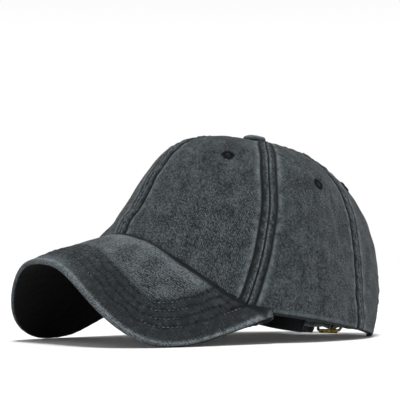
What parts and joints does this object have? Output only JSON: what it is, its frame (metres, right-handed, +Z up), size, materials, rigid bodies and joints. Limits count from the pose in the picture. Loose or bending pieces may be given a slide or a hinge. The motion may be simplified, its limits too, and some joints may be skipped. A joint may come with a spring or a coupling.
{
  "type": "ponytail baseball cap",
  "caption": "Washed cotton baseball cap with a deeply curved bill, covered top button, leaf-shaped slit and arch opening at the back, and a buckled strap.",
  "frame": {"origin": "on the floor under the middle of the cap's box", "axes": "+Z up, the bill towards -Y, the wearer's left towards +X"},
  "size_m": [0.1586, 0.2714, 0.1414],
  "materials": {
    "twill": "washed charcoal cotton twill, matte",
    "facing": "near-black cotton, matte",
    "sweatband": "dark brushed cotton, matte",
    "binding": "folded twill, worn lighter on its edges",
    "thread": "dark embroidery thread, soft sheen",
    "brass": "antique, darkened in the corners"
  },
  "bodies": {
    "root": {"panel_front_left": "twill", "panel_side_left": "twill", "panel_back_left": "twill", "panel_front_right": "twill", "panel_side_right": "twill", "panel_back_right": "twill", "eyelet_front_left": "thread", "eyelet_side_left": "thread", "eyelet_back_left": "thread", "eyelet_front_right": "thread", "eyelet_side_right": "thread", "eyelet_back_right": "thread", "crown_button": "twill", "bill_top": "twill", "bill_underside": "facing", "sweatband": "sweatband", "ponytail_slit_binding": "binding", "arch_binding": "binding", "strap": "binding", "buckle": "brass", "buckle_tab": "binding"}
  },
  "joints": []
}
